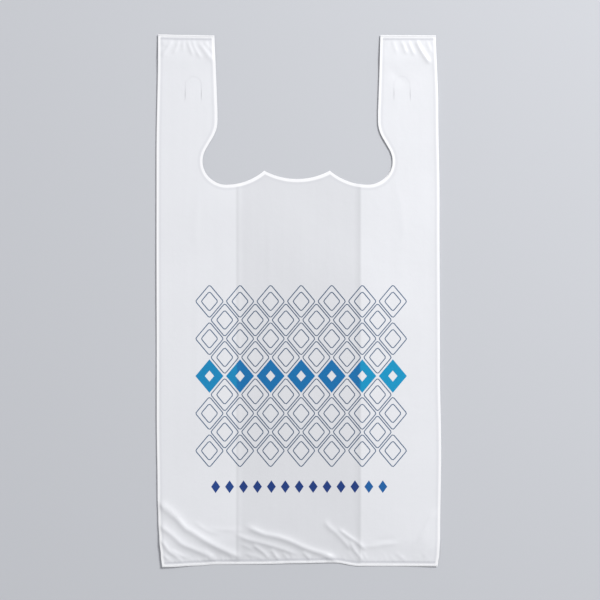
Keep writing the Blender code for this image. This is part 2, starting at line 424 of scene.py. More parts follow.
@dataclass
class Lie:
    """How the bag lies: the shape of its outline and the height of each layer over the table."""

    size: BagSize
    creases: tuple[Crease, ...] = CREASES
    pitch: float = 0.45  # air between two layers
    seal_pitch: float = 0.05
    settle: float = 26.0  # stretch over which the layers part beside a seal
    sink: float = 0.55  # how far the front drops between the gussets
    sink_run: float = 5.0
    # first and last place, end of the bag and number of the pleats along each seal
    pleated: tuple[tuple, ...] = ((-138, 66, -1.0, 38), (66, 140, -1.0, 9), (-140, -92, 1.0, 9), (92, 138, 1.0, 8))
    left_edge: tuple = (
        (-275, 6.2), (-264, 5.0), (-248, 3.4), (-227, 2.2), (-200, 1.4), (-120, 0.5), (150, 0.1), (275, 2.0)
    )
    right_edge: tuple = (
        (-275, -0.8), (-262, 0.9), (-245, 1.7), (-155, 2.8), (-70, 1.6), (100, 1.0), (200, -0.4), (275, -2.6)
    )
    bottom_edge: tuple = (
        (-140, 0.4), (-105, 1.7), (-88, 2.8), (-43, 3.1), (0, 4.1), (38, 4.8), (64, 1.2), (146, 1.1)
    )
    top_edge: tuple = ((-146, 0.3), (-117, -0.3), (-88, -0.8), (88, -0.4), (146, -0.7))

    def shift(self, x: np.ndarray, y: np.ndarray, level: np.ndarray) -> tuple[np.ndarray, np.ndarray]:
        """Return how far each point of the film lies from its place in a perfectly folded bag.

        Args:
            x: Places across the bag.
            y: Places along it.
            level: Layer that each point belongs to.

        Returns:
            Shifts across and along.
        """
        left = along(list(self.left_edge), y) * smoothstep(60.0, self.size.half, -x)
        right = along(list(self.right_edge), y) * smoothstep(60.0, self.size.half, x)
        up = along(list(self.bottom_edge), x) * np.exp(-(y + self.size.end) / 70.0)
        tilt = along(list(self.top_edge), x) * np.exp((y - self.size.end) / 25.0)
        # the die's pull leaves the layers a little out of line round the mouth
        near_mouth = smoothstep(60.0, 135.0, y) * (1.0 - smoothstep(240.0, 270.0, y))
        slip = (level - Layer.FRONT.value / 2.0) / Layer.FRONT.value
        return left + right + 0.5 * slip * near_mouth, up + tilt - 0.9 * slip * near_mouth

    def parting(self, y: np.ndarray) -> np.ndarray:
        """Return 0 in the seals and 1 where the layers lie freely."""
        room = self.size.end - self.size.seal - np.abs(y)
        return smoothstep(0.0, self.settle, room)

    def ground(self, x: np.ndarray, y: np.ndarray) -> np.ndarray:
        """Return how far the back of the bag stands off the table."""
        end = self.size.end
        corner_left = 2.6 * np.exp(-(((x + 150.0) / 34.0) ** 2) - ((y + end) / 30.0) ** 2)
        corner_right = 1.6 * np.exp(-(((x - 150.0) / 30.0) ** 2) - ((y + end) / 26.0) ** 2)
        hem = 0.9 * np.exp(-(((x - 10.0) / 60.0) ** 2) - ((y + end) / 14.0) ** 2)
        tips = 1.5 * smoothstep(end - 45.0, end, y)
        waves = 0.35 * (1.0 + np.sin(y / 23.0 + 0.7) * np.sin(x / 31.0 + y / 90.0))
        return corner_left + corner_right + hem + tips + waves * self.parting(y) * 0.5

    def puff(self, x: np.ndarray, y: np.ndarray) -> np.ndarray:
        """Return how far the air in the bag lifts its front, over and above the layers' own pitch."""
        across = 1.0 - np.clip(np.abs(x) / self.size.half, 0.0, 1.0) ** 4
        body = 1.0 - smoothstep(90.0, 150.0, y)
        broad = 0.8 + 0.55 * np.sin(x / 47.0 + 0.5) * np.cos(y / 61.0 + 0.3) + 0.3 * np.sin(y / 29.0 + x / 53.0)
        low = 0.9 * np.exp(-(((x + 60.0) / 90.0) ** 2) - ((y + 228.0) / 34.0) ** 2)
        return (broad * (0.3 + 0.7 * body) + low) * across

    def pleats(self) -> list[Crease]:
        """Return the short pleats that the jaws leave along each seal."""
        rng = np.random.default_rng(11)
        made = []
        for low, high, end, count in self.pleated:
            for start in np.linspace(low, high, count) + rng.uniform(-2.0, 2.0, count):
                reach, lean = rng.uniform(6.0, 13.0), rng.uniform(-0.9, 0.25)
                foot = (start, end * (self.size.end - 3.5))
                tip = (start + reach * lean, end * (self.size.end - 3.5 - reach))
                middle = ((foot[0] + tip[0]) / 2.0 + rng.uniform(-0.8, 0.8), (foot[1] + tip[1]) / 2.0)
                made.append(Crease((foot, middle, tip), rng.uniform(0.12, 0.42), rng.uniform(1.5, 2.2)))
        return made

    def wrinkles(self, x: np.ndarray, y: np.ndarray) -> np.ndarray:
        """Return the relief of all the creases, which the seals hold flat."""
        relief = np.zeros(x.shape)
        for crease in (*self.creases, *self.pleats()):
            relief += crease.relief(x, y)
        room = self.size.end - self.size.seal - np.abs(y)
        return relief * smoothstep(0.0, 5.0, room)

    def heights(self, x: np.ndarray, y: np.ndarray, level: np.ndarray) -> np.ndarray:
        """Return the height of each point of the film over the table.

        Args:
            x: Places across the flat bag.
            y: Places along it.
            level: Layer of each point, with a fraction in a fold between two layers.

        Returns:
            Heights, in millimetres.
        """
        shift_x, shift_y = self.shift(x, y, level)
        at_x, at_y = x + shift_x, y + shift_y
        free = self.parting(y)
        pitch = self.seal_pitch + (self.pitch - self.seal_pitch) * free
        ground = self.ground(at_x, at_y)
        edge = self.size.half - np.abs(x)
        inner = self.size.half - self.size.gusset
        between = 1.0 - smoothstep(inner - self.sink_run, inner, np.abs(x - self.size.uneven))
        lift = (self.puff(at_x, at_y) - self.sink * between) * free + self.wrinkles(at_x, at_y)
        lift = lift * smoothstep(-1.0, 5.0, edge) + 0.15 * free * np.exp(-((edge / 5.0) ** 2))
        floor = (0.10 - pitch * (1.0 + between)) * free
        lift = floor + 0.5 * (lift - floor + np.sqrt((lift - floor) ** 2 + 0.3**2))
        front = smoothstep(Layer.UPPER_GUSSET.value, Layer.FRONT.value, level)
        gusset = 0.25 * smoothstep(0.0, 1.0, level) * (1.0 - front) * self.puff(x, y)
        gusset = gusset * free * smoothstep(0.0, 7.0, edge)
        return ground + level * pitch + lift * front + np.minimum(gusset, 0.3)


@dataclass
class FilmSheet:
    """The film as one flat sheet, from the middle of the back round the bag to the middle of the back."""

    size: BagSize
    cut: DieCut
    fold: float = 0.55  # radius of a fold
    arc_steps: int = 4
    edge_pitch: float = 2.2
    inner_pitch: float = 5.5
    fine_pitch: float = 1.55
    front_pitch: float = 2.7
    rings: tuple[float, ...] = (1.1, 2.2, 3.3, 4.4, 5.8)
    points: list = field(default_factory=list)
    edges: list = field(default_factory=list)

    def __post_init__(self) -> None:
        """Work out how a way round the film relates to a place across the folded bag."""
        half, gusset, fold = self.size.half, self.size.gusset, self.fold
        turn = np.linspace(0.0, math.pi, 2 * self.arc_steps + 1)
        outer_x = half - fold + fold * np.sin(turn)
        inner_x = half - gusset + fold - fold * np.sin(turn)
        step = (1.0 - np.cos(turn)) / 2.0
        run = fold * turn
        flat = half - fold
        pleat = gusset - 2.0 * fold
        starts = np.cumsum([flat, math.pi * fold + pleat, math.pi * fold + pleat])
        self.way = np.concatenate(([0.0], starts[0] + run, starts[1] + run, starts[2] + run))
        self.across = np.concatenate(([0.0], outer_x, inner_x, outer_x))
        self.level = np.concatenate(([3.0], 3.0 - step, 2.0 - step, 1.0 - step))
        self.reach = float(self.way[-1] + flat)
        self.way = np.append(self.way, self.reach)
        self.across = np.append(self.across, 0.0)
        self.level = np.append(self.level, 0.0)
        self.folds = self.way[1:-1]
        self.middles = [float(s + math.pi * fold / 2.0) for s in starts]

    @property
    def flat_size(self) -> tuple[float, float]:
        """Return the width and the length of the sheet before it is folded and cut."""
        return (2.0 * self.reach, self.size.length)

    def way_at(self, x: np.ndarray, layer: Layer) -> np.ndarray:
        """Return how far round the film a place across the bag lies, in one layer of its right half.

        Args:
            x: Half widths.
            layer: The layer that the places are in.

        Returns:
            Ways round from the middle of the front.
        """
        first, second, third = self.middles
        spans = {
            Layer.FRONT: (0.0, first),
            Layer.UPPER_GUSSET: (first, second),
            Layer.LOWER_GUSSET: (second, third),
            Layer.BACK: (third, self.reach),
        }
        low, high = spans[layer]
        held = (self.way >= low - 1e-6) & (self.way <= high + 1e-6)
        places, ways = self.across[held], self.way[held]
        order = np.argsort(places)
        return np.interp(x, places[order], ways[order])

    def add_run(self, run: np.ndarray, closed: bool = False) -> None:
        """Add a line of points that the sheet's triangles keep to."""
        start = len(self.points)
        self.points.extend(run.tolist())
        last = len(run) if closed else len(run) - 1
        self.edges.extend((start + i, start + (i + 1) % len(run)) for i in range(last))

    def mirrored_runs(self, run: np.ndarray, closed: bool = False) -> None:
        """Add a line in the right half of the sheet, and its mirror image in the left half."""
        self.add_run(run, closed)
        self.add_run(run * (-1.0, 1.0), closed)

    def draw_outline(self) -> None:
        """Draw the sheet's ends, seams, mouth cuts and slits."""
        end = self.size.end
        mouth = self.cut.half_mouth(self.edge_pitch)
        for layer in Layer:
            pitch = self.edge_pitch if layer is Layer.FRONT else self.inner_pitch / 2.0
            outline = self.cut.half_mouth(pitch)
            if layer in (Layer.UPPER_GUSSET, Layer.LOWER_GUSSET):
                outline = outline[outline[:, 0] >= self.size.half - self.size.gusset]
                foot = np.array([[self.size.half - self.size.gusset, outline[-1, 1]]])
                outline = np.vstack((outline, foot))
            ways = self.way_at(outline[:, 0], layer)
            self.mirrored_runs(np.column_stack((ways, outline[:, 1])))
            slit = self.cut.slit(1.2 if layer is Layer.FRONT else 2.4)
            ways = self.way_at(slit[:, 0], layer)
            self.mirrored_runs(np.column_stack((ways, slit[:, 1])), closed=True)
        front = self.middles[0]
        for low, high, pitch in ((0.0, front, self.edge_pitch), (front, self.reach, self.inner_pitch)):
            for y in (-end, end):
                self.mirrored_runs(straight((low, y), (high, y), pitch))
        lip = float(mouth[-1, 1])
        self.mirrored_runs(straight((self.reach, -end), (self.reach, lip), self.inner_pitch))

    def draw_folds(self) -> None:
        """Draw each fold as columns of points, which the triangles keep to."""
        end = self.size.end
        for way in self.folds:
            pitch = self.edge_pitch if way < self.middles[0] + 1.0 else self.inner_pitch
            self.mirrored_runs(straight((way, -end), (way, end), pitch))

    def spacing(self, way: np.ndarray, y: np.ndarray) -> np.ndarray:
        """Return how far apart the sheet's points are wanted: close where the front creases most."""
        front = np.abs(way) < self.middles[0]
        fine = (y < 52.0 - self.size.end) | (y > self.size.end - 34.0)
        return np.where(front, np.where(fine, self.fine_pitch, self.front_pitch), self.inner_pitch)

    def fill(self) -> None:
        """Fill the sheet with points in a staggered grid, denser where the front creases most."""
        tree = KDTree(len(self.points))
        for i, (way, y) in enumerate(self.points):
            tree.insert((way, y, 0.0), i)
        tree.balance()
        rng = np.random.default_rng(7)
        for pitch in (self.fine_pitch, self.front_pitch, self.inner_pitch):
            rows = np.arange(-self.size.end, self.size.end, pitch * math.sqrt(0.75))
            columns = np.arange(-self.reach, self.reach, pitch)
            grid_way, grid_y = np.meshgrid(columns, rows)
            grid_way[1::2] += pitch / 2.0
            way, y = grid_way.ravel(), grid_y.ravel()
            way = way + rng.uniform(-0.08, 0.08, way.shape) * pitch
            y = y + rng.uniform(-0.08, 0.08, y.shape) * pitch
            wanted = np.isclose(self.spacing(way, y), pitch) & (np.abs(way) < self.reach)
            wanted &= (np.abs(y) < self.size.end) & ~self.cut_out(way, y)
            for a, b in zip(way[wanted], y[wanted]):
                if tree.find((a, b, 0.0))[2] > 0.55 * pitch:
                    self.points.append([float(a), float(b)])

    def add_rings(self) -> None:
        """Add points at set distances inside the front's edges, so that its rim can carry a painted highlight and
        painted shade.
        """
        mouth = self.cut.half_mouth(self.edge_pitch)
        tangent = np.gradient(mouth, axis=0)
        normal = np.column_stack((-tangent[:, 1], tangent[:, 0]))
        normal /= np.hypot(*normal.T)[:, None]
        for ring in self.rings:
            away = mouth + normal * ring
            if not inside(self.mouth_outline(), away[:1])[0]:
                moved = away
            else:
                moved = mouth - normal * ring
            gap = np.hypot(*(moved[:, None] - mouth[None]).transpose(2, 0, 1)).min(axis=1)
            moved = moved[(gap > 0.9 * ring) & (np.abs(moved[:, 1]) < self.size.end - 1.0)]
            y = np.arange(-self.size.end + 1.5, self.size.end - 1.0, self.edge_pitch)
            side = np.column_stack((np.full(len(y), self.middles[0] - ring), y))
            x = np.arange(1.0, self.middles[0] - 1.5, self.edge_pitch)
            ends = np.vstack((np.column_stack((x, np.full(len(x), ring - self.size.end))),
                              np.column_stack((x, np.full(len(x), self.size.end - ring)))))
            ends = ends[~self.cut_out(ends[:, 0], ends[:, 1])]
            for group in (moved, side, ends):
                self.points.extend(group.tolist())
                self.points.extend((group * (-1.0, 1.0)).tolist())

    def mouth_outline(self) -> np.ndarray:
        """Return the whole mouth as a closed outline that runs past the top of the handles."""
        right = self.cut.half_mouth(self.edge_pitch / 4.0)
        top = np.array([[self.cut.mouth, self.size.end + 10.0]])
        right = np.vstack((top, right))
        left = (right * (-1.0, 1.0))[::-1]
        return np.vstack((right, left[1:]))

    def cut_out(self, way: np.ndarray, y: np.ndarray) -> np.ndarray:
        """Say which points of the sheet lie where the die has cut."""
        x = np.interp(np.abs(way), self.way, self.across)
        places = np.column_stack((x, y))
        gone = inside(self.mouth_outline(), places)
        return gone | inside(self.cut.slit(0.6), places)

    def triangles(self) -> tuple[np.ndarray, np.ndarray]:
        """Return the flat sheet's points and triangles."""
        self.draw_outline()
        self.draw_folds()
        self.add_rings()
        self.fill()
        flat = [Vector(p) for p in self.points]
        verts, _, faces, *_ = delaunay_2d_cdt(flat, self.edges, [], 0, 1e-4)
        places = np.array([v[:] for v in verts])
        corners = np.array([f for f in faces if len(f) == 3])
        middle = places[corners].mean(axis=1)
        corners = corners[~self.cut_out(middle[:, 0], middle[:, 1])]
        used, corners = np.unique(corners, return_inverse=True)
        return places[used], corners.reshape(-1, 3)


def start_material(name: str) -> tuple[bpy.types.Material, bpy.types.Node, bpy.types.NodeSocket]:
    """Start a material.

    Args:
        name: Its name, which says what the real surface is.

    Returns:
        The material, its shader and the socket of the place on the object.
    """
    material = bpy.data.materials.new(name)
    material.use_nodes = True
    tree = material.node_tree
    place = add_node(tree, "ShaderNodeTexCoord", {}, {}).outputs["Object"]
    return material, tree.nodes["Principled BSDF"], place


def from_band(tree: bpy.types.NodeTree, place: bpy.types.NodeSocket, size: BagSize) -> bpy.types.NodeSocket:
    """Measure how far a place lies to either side of the middle of the band between the gussets.

    Args:
        tree: The material's tree.
        place: The socket of the place.
        size: The bag's sizes.

    Returns:
        The socket of the distance, in metres.
    """
    axes = add_node(tree, "ShaderNodeSeparateXYZ", {}, {"Vector": place})
    middle = size.uneven * MM
    centred = add_node(tree, "ShaderNodeMath", {"operation": "SUBTRACT"}, {0: axes.outputs["X"], 1: middle})
    return add_node(tree, "ShaderNodeMath", {"operation": "ABSOLUTE"}, {0: centred.outputs[0]}).outputs[0]


@dataclass(frozen=True)
class FilmFinish:
    """Blown high-density film: milky white, satin, with the faint lines of the die it came out of, a painted
    highlight along its edges, painted shade just inside its seals, folds and mouth, and a painted shadow of each
    gusset's inner fold.
    """

    white: str = "#E9EAEE"
    thin: str = "#DFE0E4"  # two layers let more of the table's shade through than four
    # painted highlight: the near-white painted along the film's edges
    rim: str = "#FBFBFD"
    # painted shade: the colour of the dark line just inside the seals, folds and mouth
    groove: str = "#CFD0D6"
    roughness: float = 0.40
    ior: float = 1.54
    fold_shadow: float = 0.045  # how much darker the painted shadow of a gusset's inner fold makes the front
    line_pitch: float = 5.0  # millimetres between the die's lines, drawn coarser than they are to show
    crinkle: float = 9.0  # millimetres across one dimple of the film's crinkle

    def build(self, size: BagSize) -> bpy.types.Material:
        """Make the material.

        Args:
            size: The bag's sizes, which say where two layers lie and where four.

        Returns:
            The new material.
        """
        material, shader, place = start_material("blown_film_satin_white")
        tree = material.node_tree
        inner = (size.half - size.gusset) * MM
        aside = from_band(tree, place, size)
        band = add_node(
            tree,
            "ShaderNodeMapRange",
            {"interpolation_type": "SMOOTHSTEP"},
            {"Value": aside, "From Min": inner - 0.4 * MM, "From Max": inner + 2.2 * MM},
        )
        # painted shadow: a darker line just inside each edge of the band between the gussets, where a gusset's
        # inner fold lies under the front
        rise = add_node(
            tree,
            "ShaderNodeMapRange",
            {"interpolation_type": "SMOOTHSTEP"},
            {"Value": aside, "From Min": inner - 3.2 * MM, "From Max": inner - 0.6 * MM},
        )
        fall = add_node(tree, "ShaderNodeMath", {"operation": "SUBTRACT"}, {0: 1.0, 1: band.outputs["Result"]})
        line = add_node(
            tree, "ShaderNodeMath", {"operation": "MULTIPLY"}, {0: rise.outputs["Result"], 1: fall.outputs[0]}
        )
        fold_shadow = add_node(
            tree, "ShaderNodeMath", {"operation": "MULTIPLY_ADD"}, {0: line.outputs[0], 1: -self.fold_shadow, 2: 1.0}
        )
        layers = add_node(
            tree,
            "ShaderNodeMix",
            {"data_type": "RGBA"},
            {0: band.outputs["Result"], 6: linear(self.thin), 7: linear(self.white)},
        )
        edge = add_node(tree, "ShaderNodeAttribute", {"attribute_name": "edge_mm"}, {})
        # painted highlight: the base colour turns to the rim's near-white within about 1.9 mm of the bag's edges,
        # fading out by 3.1 mm
        rim = add_node(
            tree,
            "ShaderNodeMapRange",
            {"interpolation_type": "SMOOTHSTEP"},
            {"Value": edge.outputs["Fac"], "From Min": 3.1, "From Max": 1.9},
        )
        # painted shade: darker along a line about 4.4 mm inside each seal, and fainter about 4 mm inside the folds
        # and the mouth
        groove = add_node(tree, "ShaderNodeAttribute", {"attribute_name": "groove"}, {})
        cloud = add_node(
            tree, "ShaderNodeTexNoise", {}, {"Vector": place, "Scale": 1.0 / (60.0 * MM), "Detail": 3.0}
        )
        streak_space = add_node(
            tree, "ShaderNodeMapping", {}, {"Vector": place, "Scale": (1.0, 0.02, 1.0)}
        )
        streaks = add_node(
            tree,
            "ShaderNodeTexNoise",
            {},
            {"Vector": streak_space.outputs[0], "Scale": 1.0 / (self.line_pitch * MM), "Detail": 4.0},
        )
        shade = add_node(
            tree,
            "ShaderNodeMapRange",
            {},
            {"Value": streaks.outputs["Fac"], "From Min": 0.3, "From Max": 0.7, "To Min": 0.994, "To Max": 1.006},
        )
        drift = add_node(
            tree,
            "ShaderNodeMapRange",
            {},
            {"Value": cloud.outputs["Fac"], "From Min": 0.3, "From Max": 0.7, "To Min": 0.990, "To Max": 1.008},
        )
        both = add_node(
            tree, "ShaderNodeMath", {"operation": "MULTIPLY"}, {0: shade.outputs[0], 1: drift.outputs[0]}
        )
        # random tone of the film times the painted shadow of the gussets' inner folds
        depth = add_node(
            tree, "ShaderNodeMath", {"operation": "MULTIPLY"}, {0: both.outputs[0], 1: fold_shadow.outputs[0]}
        )
        toned = add_node(
            tree, "ShaderNodeVectorMath", {"operation": "SCALE"}, {0: layers.outputs[2], "Scale": depth.outputs[0]}
        )
        groove_shaded = add_node(
            tree,
            "ShaderNodeMix",
            {"data_type": "RGBA"},
            {0: groove.outputs["Fac"], 6: toned.outputs[0], 7: linear(self.groove)},
        )
        rim_highlighted = add_node(
            tree,
            "ShaderNodeMix",
            {"data_type": "RGBA"},
            {0: rim.outputs["Result"], 6: groove_shaded.outputs[2], 7: linear(self.rim)},
        )
        tree.links.new(rim_highlighted.outputs[2], shader.inputs["Base Color"])
        satin = add_node(
            tree,
            "ShaderNodeMapRange",
            {},
            {
                "Value": cloud.outputs["Fac"],
                "To Min": self.roughness - 0.06,
                "To Max": self.roughness + 0.06,
            },
        )
        tree.links.new(satin.outputs[0], shader.inputs["Roughness"])
        shader.inputs["IOR"].default_value = self.ior
        crinkle = add_node(
            tree,
            "ShaderNodeTexNoise",
            {},
            {"Vector": place, "Scale": 1.0 / (self.crinkle * MM), "Detail": 5.0, "Roughness": 0.55},
        )
        lines = add_node(
            tree,
            "ShaderNodeBump",
            {},
            {"Height": streaks.outputs["Fac"], "Strength": 0.25, "Distance": 0.05 * MM},
        )
        relief = add_node(
            tree,
            "ShaderNodeBump",
            {},
            {
                "Height": crinkle.outputs["Fac"],
                "Strength": 0.45,
                "Distance": 0.35 * MM,
                "Normal": lines.outputs["Normal"],
            },
        )
        tree.links.new(relief.outputs["Normal"], shader.inputs["Normal"])
        return material


@dataclass(frozen=True)
class InkFinish:
    """Flexographic ink: a thin satin coat that lets some of what lies under the film through."""

    name: str
    left: str
    right: str
    thin: str  # the colour where only two layers of film lie, between the gussets
    roughness: float = 0.36

    def build(self, size: BagSize) -> bpy.types.Material:
        """Make the material.

        Args:
            size: The bag's sizes, which set how far the colour runs and where the film is two deep.

        Returns:
            The new material.
        """
        material, shader, place = start_material(self.name)
        tree = material.node_tree
        axes = add_node(tree, "ShaderNodeSeparateXYZ", {}, {"Vector": place})
        run = add_node(
            tree,
            "ShaderNodeMapRange",
            {"interpolation_type": "SMOOTHSTEP"},
            {"Value": axes.outputs["X"], "From Min": -size.half * 0.8 * MM, "From Max": size.half * 0.8 * MM},
        )
        colour = add_node(
            tree,
            "ShaderNodeMix",
            {"data_type": "RGBA"},
            {0: run.outputs["Result"], 6: linear(self.left), 7: linear(self.right)},
        )
        grain = add_node(
            tree, "ShaderNodeTexNoise", {}, {"Vector": place, "Scale": 1.0 / (1.6 * MM), "Detail": 4.0}
        )
        inner = (size.half - size.gusset) * MM
        aside = from_band(tree, place, size)
        under = add_node(
            tree,
            "ShaderNodeMapRange",
            {"interpolation_type": "SMOOTHSTEP"},
            {
                "Value": aside,
                "From Min": inner - 1.2 * MM,
                "From Max": inner + 1.8 * MM,
            },
        )
        backed = add_node(
            tree,
            "ShaderNodeMix",
            {"data_type": "RGBA"},
            {0: under.outputs["Result"], 6: linear(self.thin), 7: colour.outputs[2]},
        )
        cover = add_node(
            tree,
            "ShaderNodeMapRange",
            {},
            {"Value": grain.outputs["Fac"], "From Min": 0.3, "From Max": 0.7, "To Min": 0.93, "To Max": 1.06},
        )
        toned = add_node(
            tree, "ShaderNodeVectorMath", {"operation": "SCALE"}, {0: backed.outputs[2], "Scale": cover.outputs[0]}
        )
        tree.links.new(toned.outputs[0], shader.inputs["Base Color"])
        shader.inputs["Roughness"].default_value = self.roughness
        shader.inputs["IOR"].default_value = 1.5
        dimple = add_node(
            tree,
            "ShaderNodeBump",
            {},
            {"Height": grain.outputs["Fac"], "Strength": 0.15, "Distance": 0.05 * MM},
        )
        tree.links.new(dimple.outputs["Normal"], shader.inputs["Normal"])
        return material


@dataclass(frozen=True)
class WeldFinish:
    """Film melted into one: smoother and shinier than the loose layers beside it, and whiter, which is a painted
    highlight along the sealed edges.
    """

    # painted highlight: the bead's near-white, mottled at random with a greyer white
    colour: str = "#F6F7F9"
    worn: str = "#E6E7EB"
    roughness: float = 0.30
    ior: float = 1.54

    def build(self) -> bpy.types.Material:
        """Make the material."""
        material, shader, place = start_material("heat_sealed_film_glossy_white")
        tree = material.node_tree
        melt = add_node(
            tree, "ShaderNodeTexNoise", {}, {"Vector": place, "Scale": 1.0 / (2.5 * MM), "Detail": 3.0}
        )
        colour = add_node(
            tree,
            "ShaderNodeMix",
            {"data_type": "RGBA"},
            {0: melt.outputs["Fac"], 6: linear(self.worn), 7: linear(self.colour)},
        )
        tree.links.new(colour.outputs[2], shader.inputs["Base Color"])
        shader.inputs["Roughness"].default_value = self.roughness
        shader.inputs["IOR"].default_value = self.ior
        bump = add_node(
            tree,
            "ShaderNodeBump",
            {},
            {"Height": melt.outputs["Fac"], "Strength": 0.3, "Distance": 0.08 * MM},
        )
        tree.links.new(bump.outputs["Normal"], shader.inputs["Normal"])
        return material


def new_piece(
    name: str,
    verts: np.ndarray,
    faces: list,
    material: bpy.types.Material | None = None,
    edges: list | None = None,
) -> bpy.types.Object:
    """Make a smooth-shaded object out of points in millimetres.

    Args:
        name: The piece's name.
        verts: Points, in millimetres.
        faces: Corner numbers of each face.
        material: The piece's finish, if a tree doesn't set it later.
        edges: Corner numbers of edges without a face.

    Returns:
        The new object, at the origin.
    """
    mesh = bpy.data.meshes.new(name)
    mesh.from_pydata((verts * MM).tolist(), edges or [], faces)
    if material is not None:
        mesh.materials.append(material)
    mesh.shade_smooth()
    mesh.update()
    piece = bpy.data.objects.new(name, mesh)
    bpy.context.scene.collection.objects.link(piece)
    return piece


def make_plain(piece: bpy.types.Object) -> None:
    """Apply a piece's modifiers, so that it holds the plain mesh that they make."""
    graph = bpy.context.evaluated_depsgraph_get()
    made = bpy.data.meshes.new_from_object(piece.evaluated_get(graph))
    made.name = piece.name
    piece.modifiers.clear()
    old = piece.data
    piece.data = made
    bpy.data.meshes.remove(old)


@dataclass
class BagFilm:
    """The bag's film: the flat sheet, folded, laid on the table and given its thickness."""

    size: BagSize
    cut: DieCut
    lie: Lie
    finish: FilmFinish

    def build(self) -> bpy.types.Object:
        """Returns:
            The film's piece.
        """
        sheet = FilmSheet(self.size, self.cut)
        flat, corners = sheet.triangles()
        way = np.abs(flat[:, 0])
        side = np.where(flat[:, 0] < 0.0, -1.0, 1.0)
        x = np.interp(way, sheet.way, sheet.across) * side
        level = np.interp(way, sheet.way, sheet.level)
        y = flat[:, 1]
        from_fold = np.abs(np.abs(x) - self.size.half + self.size.gusset)
        pull = self.size.uneven * (1.0 - smoothstep(0.0, 40.0, from_fold))
        pull = pull * np.where(level > 2.5, 0.0, 1.0) * np.where(level < 0.5, 0.0, 1.0)
        z = self.lie.heights(x, y, level)
        shift_x, shift_y = self.lie.shift(x, y, level)
        verts = np.column_stack((x + shift_x + pull, y + shift_y, z))
        piece = new_piece("printed_film", verts, corners.tolist(), self.finish.build(self.size))
        self.shade_edges(piece, sheet, x, y)
        self.close_seam(piece)
        solid = piece.modifiers.new("thickness", "SOLIDIFY")
        solid.thickness = self.size.film * MM
        solid.offset = -1.0
        make_plain(piece)
        piece.data.set_sharp_from_angle(angle=math.radians(50.0))
        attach(piece, BODY)
        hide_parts(NODE)
        log.info("%s: %d faces", piece.name, len(piece.data.polygons))
        self.flat = tuple(v * MM for v in sheet.flat_size)
        self.area = float(self.sheet_area(flat, corners)) * MM * MM
        return piece

    def sheet_area(self, flat: np.ndarray, corners: np.ndarray) -> float:
        """Return the area of the flat sheet after the die cut."""
        a, b, c = (flat[corners[:, i]] for i in range(3))
        (across, up), (over, rise) = (b - a).T, (c - a).T
        return float(np.abs(across * rise - up * over).sum() / 2.0)

    def shade_edges(self, piece: bpy.types.Object, sheet: FilmSheet, x: np.ndarray, y: np.ndarray) -> None:
        """Store how far each point lies from the bag's edges, for the painted highlight along them, and how much
        painted shade it gets in the dark line just inside the seals, the folds and the mouth.

        Args:
            piece: The film.
            sheet: The flat sheet, which knows the mouth's outline.
            x: Places across the flat bag.
            y: Places along it.
        """
        outline = sheet.cut.half_mouth(0.5)
        tree = KDTree(len(outline))
        for i, (px, py) in enumerate(outline):
            tree.insert((px, py, 0.0), i)
        tree.balance()
        mouth = np.array([tree.find((abs(a), b, 0.0))[2] for a, b in zip(x, y)])
        seal = self.size.end - np.abs(y)
        fold = self.size.half - np.abs(x)
        edge = np.minimum(np.minimum(mouth, seal), fold)
        # painted shade: a dark line about 4.4 mm inside each seal, and a fainter one about 4 mm inside the folds
        # and the mouth
        groove = np.exp(-(((seal - 4.4) / 1.0) ** 2))
        soft = 0.30 * np.exp(-(((np.minimum(mouth, fold) - 4.0) / 1.1) ** 2))
        for name, values in (("edge_mm", edge), ("groove", np.maximum(groove, soft))):
            layer = piece.data.attributes.new(name, "FLOAT", "POINT")
            layer.data.foreach_set("value", values.astype(np.float32))

    def close_seam(self, piece: bpy.types.Object) -> None:
        """Join the two sides of the sheet where they meet, in the middle of the back."""
        weld = piece.modifiers.new("back_seam", "WELD")
        weld.merge_threshold = 0.002 * MM


